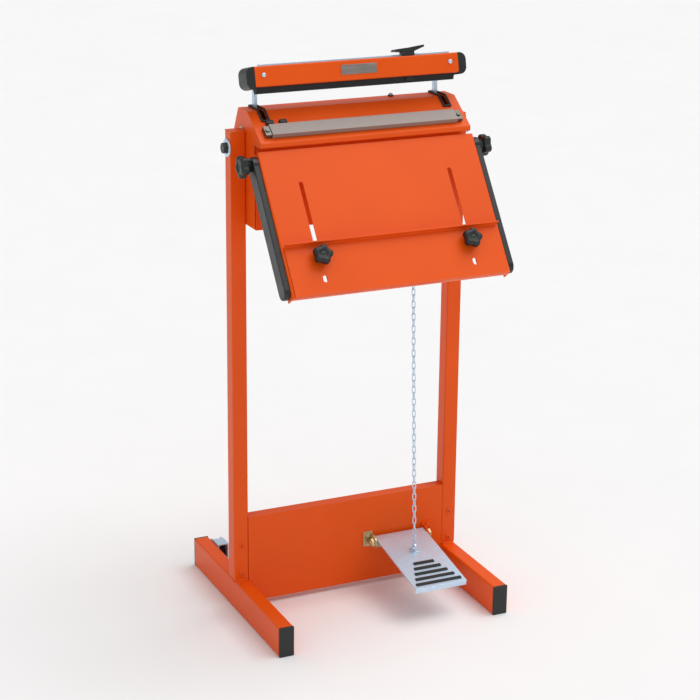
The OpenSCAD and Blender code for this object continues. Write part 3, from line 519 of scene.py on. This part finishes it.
def welds():
    """Beads round the foot of each upright, clear of the tube's round corners."""
    bm = bmesh.new()
    corner = 0.003
    sunk = 0.0006
    for sign in SIDES.values():
        near = sign * TUBE_IN
        far = sign * TUBE_OUT
        for y in (TUBE_FRONT, TUBE_BACK):
            weld_bead(bm, (near + sign * corner, y, FOOT_TOP), (far - sign * corner, y, FOOT_TOP))
        z = FOOT_TOP - sunk
        for x in (near + sign * sunk, far - sign * sunk):
            weld_bead(bm, (x, TUBE_FRONT + corner, z), (x, TUBE_BACK - corner, z))
    add_piece("foot_welds", bm, "orange_paint", "stand_and_head")


def screw_head(bm, place, radius, height, socket):
    """A domed screw head with a hexagon socket."""
    hole = hexagon(socket)
    rings(bm, [(0, radius), (0.35 * height, radius), (0.72 * height, 0.86 * radius),
               (0.94 * height, 0.62 * radius), (height, 0.42 * radius), (height, inset(hole, -0.0002)),
               (0.35 * height, hole)], place)


def shank(bm, place, radius, low, high):
    """A plain rod between two heights, with a chamfered tip at the low end."""
    tip = 0.0006
    rings(bm, [(low, radius - tip), (low + tip, radius), (high, radius)], place, 32)


def welded(node):
    """A node's mesh, with its faces joined."""
    bm = bmesh.new()
    bm.from_mesh(NODES[node].data)
    bmesh.ops.remove_doubles(bm, verts=bm.verts, dist=1e-5)
    return bm


def boxes_of(node):
    """The ends of the box of each of a node's separate solids, from left to right."""
    bm = welded(node)
    left = set(bm.verts)
    boxes = []
    for start in bm.verts:
        if start not in left:
            continue
        left.remove(start)
        island = [start]
        for vert in island:
            for edge in vert.link_edges:
                other = edge.other_vert(vert)
                if other in left:
                    left.remove(other)
                    island.append(other)
        low = Vector([min(vert.co[k] for vert in island) for k in range(3)])
        high = Vector([max(vert.co[k] for vert in island) for k in range(3)])
        boxes.append((low, high))
    bm.free()
    return sorted(boxes, key=lambda box: tuple(box[0]))


def stand_screws():
    """Painted screws in the uprights' fronts, which hold the cross panel."""
    bm = bmesh.new()
    head = 0.0025
    shank_r = 0.0025
    socket = 0.004
    for low, high in boxes_of("upright_screws"):
        face = low.y + head
        place = frame_at(((low.x + high.x) / 2, face, (low.z + high.z) / 2), (0, -1, 0))
        screw_head(bm, place, (high.x - low.x) / 2, head, socket)
        shank(bm, place, shank_r, face - high.y, 0)
    add_piece("upright_screws_turned", bm, "orange_paint", "stand_and_head", ["upright_screws"])


# ---- wheels ----
def wheels():
    """Plain moulded wheels: hub, dished web and a rounded tread."""
    bore = 0.0041
    dish = 0.003
    step = 0.0006
    for side in SIDES:
        node = f"rear_wheel_{side}"
        low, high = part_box(node)
        radius = (high.z - low.z) / 2
        half = (high.x - low.x) / 2
        place = frame_at(((low.x + high.x) / 2, WHEELS[side].y, WHEELS[side].z), (1, 0, 0))
        web = half - dish
        hub = [(-half, bore), (-half, 0.32 * radius), (step - half, 0.34 * radius)]
        disc = [(-web, 0.37 * radius), (-web, 0.66 * radius), (step - half, 0.69 * radius)]
        tread = [(-half, 0.72 * radius), (-half, 0.88 * radius), (-0.82 * half, 0.97 * radius),
                 (-0.5 * half, radius)]
        one_side = hub + disc + tread
        bm = bmesh.new()
        rings(bm, one_side + [(-z, r) for z, r in reversed(one_side)], place, 64, closed=False)
        add_piece(f"{node}_moulded", bm, "black_rubber", node, [node])
    soften("wheel_brackets", "zinc_steel", 0.0004)


def washer(bm, place, hole, radius, thickness):
    """A flat washer on a face, +Z outwards."""
    edge = 0.0004
    rings(bm, [(0, hole), (0, radius - edge), (edge, radius), (thickness - edge, radius),
               (thickness, radius - edge), (thickness, hole)], place, 48, closed=False)


def hex_head(bm, place, across, height):
    """A hexagon head with its corners chamfered and a shallow dish, +Z outwards."""
    rings(bm, [(0, hexagon(across, limit=0.53 * across)), (0.0004, hexagon(across)),
               (0.62 * height, hexagon(across)), (0.88 * height, hexagon(across, limit=0.54 * across)),
               (height, hexagon(across, limit=0.48 * across)), (height - 0.0003, 0.36 * across)], place)


def axles():
    """Each wheel's bolt, with one hexagon inside the foot and one beside the wheel."""
    bm = bmesh.new()
    radius = 0.004
    across = 0.013
    height = 0.005
    nut_back = 0.006
    for low, high in boxes_of("wheel_axles"):
        side, sign = ("right", 1) if low.x > 0 else ("left", -1)
        inner = low.x if sign > 0 else high.x
        start = Vector((inner, WHEELS[side].y, WHEELS[side].z))
        wall = Vector((sign * (TUBE_IN + TUBE_WALL), start.y, start.z))
        out = Vector((sign, 0, 0))
        shank(bm, frame_at(start, out), radius, 0, high.x - low.x)
        hex_head(bm, frame_at(wall, out), across, height)
        hex_head(bm, frame_at(start + out * nut_back, -out), across, height)
    add_piece("wheel_axles_turned", bm, "zinc_steel", "stand_and_head", ["wheel_axles"])


# ---- head ----
def head_bolts():
    """One bolt through each upright, and below it one screwed into it from inside the head."""
    steel = bmesh.new()
    heads = bmesh.new()
    y = (TUBE_FRONT + TUBE_BACK) / 2
    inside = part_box("side_plate_right")[0].x
    upper = Vector((0, y, SHAFT.z - 0.021))
    lower = Vector((0, y, SHAFT.z - 0.088))
    upper_r = 0.005
    lower_r = 0.004
    washer_r = 3 * upper_r - 0.001
    washer_t = 0.0025
    face = TUBE_OUT + washer_t
    tip = TUBE_IN + 0.005
    past_nut = 0.008
    inner_h = 0.006
    for sign in SIDES.values():
        out = Vector((sign, 0, 0))
        washer(steel, frame_at(upper + out * TUBE_OUT, out), upper_r, washer_r, washer_t)
        hex_head(heads, frame_at(upper + out * face, out), 3.2 * upper_r, 1.3 * upper_r)
        shank(steel, frame_at(upper + out * inside, out), upper_r, -past_nut, face - inside)
        shank(steel, frame_at(lower + out * inside, out), lower_r, 0, tip - inside)
        for at, radius in ((upper, upper_r), (lower, lower_r)):
            hex_head(steel, frame_at(at + out * inside, -out), 3.2 * radius, inner_h)
    add_piece("head_bolts_turned", steel, "zinc_steel", "stand_and_head", ["head_bolts"])
    add_piece("head_bolt_heads", heads, "black_steel", "stand_and_head", ["head_bolts"])


def head_sheets():
    bent("head_shell", "stand_and_head", HEAD_SHEET, 0.0012)
    soften("base_cover", "orange_paint", 0.0004)
    soften("rear_cover", "orange_paint", 0.0004)
    for side in SIDES:
        soften(f"side_plate_{side}", "orange_paint", 0.0004)


def cover_screws():
    bm = bmesh.new()
    head = 0.002
    shank_r = 0.002
    socket = 0.003
    for low, high in boxes_of("cover_screws"):
        face = high.y - head
        place = frame_at(((low.x + high.x) / 2, face, (low.z + high.z) / 2), (0, 1, 0))
        screw_head(bm, place, (high.x - low.x) / 2, head, socket)
        shank(bm, place, shank_r, low.y - face, 0)
    add_piece("cover_screws_turned", bm, "zinc_steel", "stand_and_head", ["cover_screws"])


def lamp():
    """A domed lens in a black bezel on the land."""
    low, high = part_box("pilot_lamp")
    dome = 0.005
    lens_r = 0.0035
    bezel_h = 0.002
    place = frame_at(((low.x + high.x) / 2, (low.y + high.y) / 2, high.z - dome), (0, 0, 1))
    bezel = bmesh.new()
    rings(bezel, [(0, lens_r), (0, 0.005), (0.0008, 0.005), (0.0017, 0.0044), (bezel_h, 0.0038),
                  (bezel_h, lens_r)], place, 40, closed=False)
    add_piece("lamp_bezel", bezel, "black_plastic", "stand_and_head", ["pilot_lamp"])
    lens = bmesh.new()
    rings(lens, [(-0.006, 0.003), (0, 0.003), (0, lens_r), (0.003, lens_r), (0.0042, 0.0029),
                 (0.0048, 0.0018), (dome, 0.0006)], place, 40)
    add_piece("lamp_lens", lens, "lamp_lens", "stand_and_head", ["pilot_lamp"])


# ---- sealing bar ----
def bar():
    soften("sealing_bar", "bar_alloy", 0.0008, 3)
    soften("heating_band", "band_metal", 0.0001)
    soften("bar_tape", "tape", 0.0006, 3)
    soften("element_clamps", "clamp_metal", 0.0005)
    soften("element_terminals", "black_plastic", 0.0008, 3)
    soften("arm_grommets", "black_rubber", 0.0011, 3)


# ---- rear controls ----
def on_back(node, y):
    """A frame at the middle of a node behind the head, at a given depth, +Z backwards."""
    low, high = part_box(node)
    return frame_at(((low.x + high.x) / 2, y, (low.z + high.z) / 2), (0, 1, 0), (1, 0, 0))


def timer_knob():
    """A knurled knob with a raised pointer."""
    height = 0.0137
    place = on_back("timer_knob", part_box("timer_knob")[1].y - height)
    sides = 96
    ridges = 24
    knurl = 0.0005
    radius = 0.013
    grip = [radius - knurl * (1 - abs(math.sin(ridges * TAU * i / sides / 2))) for i in range(sides)]
    bm = bmesh.new()
    rings(bm, [(0, radius), (0.0016, radius), (0.0022, inset(grip, 0.0006)),
               (0.0118, inset(grip, 0.0012)), (0.0129, inset(grip, 0.0020)),
               (height, inset(grip, 0.0034)), (height, 0.0078), (0.0131, 0.0072)], place, sides)
    spindle_r = 0.003
    rings(bm, [(-0.0053, spindle_r), (0.0002, spindle_r)], place, 32)
    add_piece("timer_knob_moulded", bm, "black_plastic", "timer_knob", ["timer_knob"])
    mark = bmesh.new()
    half = 0.0005
    pointer = [(-half, -0.0094), (half, -0.0094), (half, -0.0076), (-half, -0.0076)]
    prism(mark, pointer, 0.0134, 0.0139, place)
    add_piece("timer_knob_mark", mark, "plate_metal", "timer_knob")


def dial_marks():
    """Raised ticks round the timer knob, from 0 to 270 degrees, every third one longer."""
    place = on_back("timer_knob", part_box("rear_cover")[1].y)
    bm = bmesh.new()
    ticks = 10
    start = 0.0155
    half = 0.0004
    for i in range(ticks):
        turn = Matrix.Rotation(math.radians(-90 + 270 * i / (ticks - 1)), 4, "Z")
        end = 0.0195 if i % 3 == 0 else 0.018
        tick = [(start, -half), (end, -half), (end, half), (start, half)]
        prism(bm, tick, -0.0001, 0.0002, place @ turn)
    add_piece("dial_marks", bm, "plate_metal", "stand_and_head")


def gland():
    """A cable gland: neck, hexagon and domed cap."""
    place = on_back("cable_gland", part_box("rear_cover")[1].y)
    across = 0.019
    hole = 0.0035
    bm = bmesh.new()
    rings(bm, [(-0.008, hole), (-0.008, 0.0076), (-0.0076, 0.008), (0, 0.008),
               (0, hexagon(across, limit=0.0105)), (0.0005, hexagon(across)), (0.005, hexagon(across)),
               (0.0056, hexagon(across, limit=0.0102)), (0.0062, 0.0088), (0.0102, 0.0084),
               (0.0114, 0.0072), (0.012, 0.0056), (0.0118, 0.0038), (0.0114, hole)],
          place, 48, closed=False)
    add_piece("cable_gland_moulded", bm, "black_plastic", "stand_and_head", ["cable_gland"])


def insides():
    soften("power_switch", "black_plastic", 0.0002, 1)
    soften("transformer", "iron_core", 0.0005)
    soften("timer_board", "circuit_board", 0.0)
    soften("micro_switch", "black_plastic", 0.0005)
    soften("shaft_bushes", "bronze", 0.0004)
    soften("cross_shaft", "zinc_steel", 0.0005)
    soften("crank", "zinc_steel", 0.0005)


def spring():
    """A close coil on its post, drawn out into a straight stem, where the CAD has plain rings."""
    low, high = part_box("return_spring")
    x = (low.x + high.x) / 2
    y = (low.y + high.y) / 2
    wire = 0.0008
    radius = (high.x - low.x) / 2 - wire
    post_h = 0.0385
    post_r = 0.003
    hook_h = 0.010
    post_top = low.z + post_h
    coil_top = high.z - hook_h
    turns = int((coil_top - post_top) / (2.5 * wire))
    steps = 20
    points = []
    for i in range(turns * steps + 1):
        angle = TAU * i / steps
        z = post_top + (coil_top - post_top) * i / (turns * steps)
        points.append(Vector((x + radius * math.cos(angle), y + radius * math.sin(angle), z)))
    for height in (0.4 * hook_h, hook_h - wire):
        points.append(Vector((x, y, coil_top + height)))
    bm = bmesh.new()
    tube(bm, points, wire, 8)
    post = frame_at((x, y, low.z), (0, 0, 1))
    rings(bm, [(0, post_r), (post_h - 0.001, post_r), (post_h, 0.0024)], post, 32)
    add_piece("return_spring_coil", bm, "zinc_steel", "stand_and_head", ["return_spring"])


# ---- jaw ----
def jaw():
    bent("jaw_bar", "jaw", HEAD_SHEET, 0.0008)
    soften("jaw_end_caps", "black_plastic", 0.0007)
    soften("jaw_strip", "black_rubber", 0.0004)
    soften("jaw_plate", "plate_metal", 0.0003)
    soften("cutter_rail", "zinc_steel", 0.0004)
    for side in SIDES:
        soften(f"arm_{side}", "zinc_steel", 0.0006)


def jaw_screws():
    bm = bmesh.new()
    length = 0.0063
    head = 0.0018
    head_r = 0.0035
    shank_r = 0.0016
    socket = 0.0022
    for low, high in boxes_of("jaw_screws"):
        middle = (low + high) / 2
        place = frame_at(middle + JAW_FRONT * (length / 2 - head), JAW_FRONT)
        screw_head(bm, place, head_r, head, socket)
        shank(bm, place, shank_r, head - length, 0)
    add_piece("jaw_screws_turned", bm, "zinc_steel", "jaw", ["jaw_screws"])


def cutter():
    """A moulded slider with a dark steel blade under it."""
    grip = soften("cutter", "black_plastic", 0.0011, 3)
    grip.data.materials.append(MATERIALS["black_steel"])
    corners = grip.data.vertices
    edge = min(corners, key=lambda corner: corner.co.dot(JAW_UP)).co.dot(JAW_FRONT)
    blade_t = 0.001
    for polygon in grip.data.polygons:
        spread = max(abs(corners[i].co.dot(JAW_FRONT) - edge) for i in polygon.vertices)
        if spread < 1.1 * blade_t:
            polygon.material_index = 1


# ---- table and shelf ----
def star_knob(node, base, outwards, radius, height):
    """A moulded clamp knob with five lobes and a dished top."""
    place = frame_at(base, outwards, (0, 0, -1) if outwards[0] else (1, 0, 0))
    neck = 0.35 * height
    rim = lobes(radius)
    dish = 0.4 * radius
    bm = bmesh.new()
    stem = [(0, 0.48 * radius), (0.0006, 0.5 * radius), (neck - 0.0012, 0.5 * radius),
            (neck - 0.0003, 0.56 * radius)]
    grip = [(neck, inset(rim, 0.0024)), (neck + 0.0006, inset(rim, 0.0010)),
            (neck + 0.0018, inset(rim, 0.0002)), (neck + 0.003, rim), (height - 0.0035, rim),
            (height - 0.0020, inset(rim, 0.0004)), (height - 0.0009, inset(rim, 0.0014)),
            (height - 0.0002, inset(rim, 0.0030)), (height, inset(rim, 0.0046))]
    top = [(height, dish + 0.0005), (height - 0.0003, dish), (height - 0.0012, dish - 0.0004),
           (height - 0.0012, 0.3 * dish), (height - 0.0008, 0.22 * dish)]
    rings(bm, stem + grip + top, place, len(rim))
    add_piece(f"{node}_moulded", bm, "black_plastic", node, [node])
    return place


def table():
    bent("table_panel", "table", TABLE_SHEET, 0.001)
    height = 0.019
    radius = 0.018
    stud_r = 0.004
    sunk = 0.001
    for side, sign in SIDES.items():
        soften(f"table_rail_{side}", "black_steel", 0.0015, 3)
        node = f"table_knob_{side}"
        low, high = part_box(node)
        inner = min(abs(low.x), abs(high.x))
        outer = max(abs(low.x), abs(high.x))
        base = outer - height
        star_knob(node, (sign * base, PIVOT.y, PIVOT.z), (sign, 0, 0), radius, height)
        bm = bmesh.new()
        shank(bm, frame_at((0, PIVOT.y, PIVOT.z), (sign, 0, 0)), stud_r, inner, base + sunk)
        add_piece(f"{node}_stud", bm, "zinc_steel", node, [node])


def shelf():
    bent("shelf", "shelf", TABLE_SHEET, 0.001)
    height = 0.018
    radius = 0.016
    sunk = 0.001
    back = 0.0109
    stud_r = 0.003
    nut_r = 0.0065
    nut_h = 0.005
    edge = 0.0004
    for side in SIDES:
        node = f"shelf_knob_{side}"
        place = star_knob(node, anchor(f"{node}_turn"), TABLE_OUT, radius, height)
        bm = bmesh.new()
        shank(bm, place, stud_r, -back, sunk)
        front = nut_h - back
        rings(bm, [(-back, stud_r), (-back, nut_r - edge), (edge - back, nut_r), (front - edge, nut_r),
                   (front, nut_r - edge), (front, stud_r)], place, 40, closed=False)
        add_piece(f"{node}_stud", bm, "zinc_steel", node, [node])


# ---- pedal and chain ----
def pedal():
    soften("pedal", "zinc_steel", 0.0007)
    soften("pedal_strips", "black_rubber", 0.0006)
    soften("pedal_eye", "zinc_steel", 0.0004)
    soften("pedal_bracket_left", "yellow_zinc", 0.0004)
    soften("pedal_bracket_right", "orange_paint", 0.0004)
    soften("pedal_pin", "yellow_zinc", 0.0004)


def link_path(length, width, turns=9):
    """The middle line of an oval link, in its own plane."""
    r = width / 2
    half = length / 2 - r
    points = []
    for end in (1, -1):
        for i in range(turns):
            angle = math.pi * i / (turns - 1)
            points.append((end * r * math.cos(angle), end * (half + r * math.sin(angle))))
    return points


def chain():
    """Oval links from the pedal's eye to the shackle on the crank's pin."""
    wire = 0.0018
    length = 0.014
    width = 0.007
    pitch = length - 2 * wire - 0.0003
    shackle_width = 0.016
    hole = 0.012
    crank_r = 0.023
    crank_x = CHAIN_EYE.x + 0.014
    rise = JAW_SWING / 2
    pin = Vector((crank_x, SHAFT.y - crank_r * math.cos(rise), SHAFT.z + crank_r * math.sin(rise)))
    run = pin - CHAIN_EYE
    along = run.normalized()
    count = 2 * math.floor((run.length - hole / 2 - wire) / pitch / 2)
    place = frame_at(CHAIN_EYE, along, (1, 0, 0))
    play = random.Random(7)
    bm = bmesh.new()
    for i in range(count):
        middle = i * pitch + length / 2 - wire / 2
        turn = math.radians(90 * (i % 2) + play.uniform(-9, 9) * (0 < i < count - 1))
        for_link = place @ Matrix.Translation((0, 0, middle)) @ Matrix.Rotation(turn, 4, "Z")
        points = [for_link @ Vector((x, 0, z)) for x, z in link_path(length - wire, width - wire)]
        tube(bm, points, wire / 2, 10, closed=True)
    start = count * pitch - wire / 2
    shackle = run.length + hole / 2 + wire - start
    middle = start + shackle / 2
    for_loop = place @ Matrix.Translation((0, 0, middle)) @ Matrix.Rotation(math.pi / 2, 4, "Z")
    points = [for_loop @ Vector((x, 0, z)) for x, z in link_path(shackle - wire, shackle_width - wire, 13)]
    tube(bm, points, wire / 2, 12, closed=True)
    add_piece("chain_links", bm, "zinc_steel", "chain", ["chain"])


# ---- camera, light and floor ----
def camera():
    """Looks at the middle of the machine from the front left, a little above it."""
    made = bpy.data.cameras.new("camera")
    made.lens = 102
    roll = Quaternion((0, 0, 1), math.radians(0.6))
    shown = bpy.data.objects.new("camera", made)
    bpy.context.collection.objects.link(shown)
    shown.location = (-1.273, -2.754, 1.432)
    middle = (CAD_BOX[0] + CAD_BOX[1]) / 2
    aim = middle - Vector((0, 0, 0.033)) - shown.location
    shown.rotation_euler = (aim.to_track_quat("-Z", "Y") @ roll).to_euler()
    bpy.context.scene.camera = shown


def wide_light(name, place, power, spread):
    """An even light over the whole floor, from the direction of a place, as soft as its spread."""
    made = bpy.data.lights.new(name, "SUN")
    made.energy = power
    made.angle = math.radians(spread)
    shown = bpy.data.objects.new(name, made)
    bpy.context.collection.objects.link(shown)
    shown.location = place
    shown.rotation_euler = Vector(place).to_track_quat("Z", "Y").to_euler()


def studio():
    wide_light("key", (1.1, -0.3, 2.6), 1.6, 50)
    wide_light("front", (-1.5, -2.4, 2.0), 0.35, 90)
    world = bpy.data.worlds.new("studio")
    world.use_nodes = True
    sky = world.node_tree.nodes["Background"]
    sky.inputs["Color"].default_value = (1.0, 1.0, 1.0, 1.0)
    sky.inputs["Strength"].default_value = 0.5
    bpy.context.scene.world = world
    bpy.context.scene.view_settings.view_transform = "Standard"


def floor():
    finish = Finish("floor", Specular_IOR_Level=0.2)
    finish.colour(finish.mix(finish.noise(3), rgb(0.92, 0.92, 0.92), rgb(0.95, 0.95, 0.95)))
    finish.roughness(finish.ramp(finish.noise(12), 0.3, 0.7, 0.6, 0.75))
    half = 60
    corners = [(-half, -half), (half, -half), (half, half), (-half, half)]
    bm = bmesh.new()
    bm.faces.new([bm.verts.new((x, y, 0)) for x, y in corners])
    mesh = bpy.data.meshes.new("floor")
    bm.to_mesh(mesh)
    bm.free()
    mesh.materials.append(finish.material)
    shown = bpy.data.objects.new("floor", mesh)
    bpy.context.collection.objects.link(shown)


camera()
studio()
floor()
for build in (stand, welds, stand_screws, wheels, axles, head_bolts, head_sheets, cover_screws, lamp, bar,
              timer_knob, dial_marks, gland, insides, spring, jaw, jaw_screws, cutter, table, shelf,
              pedal, chain):
    build()
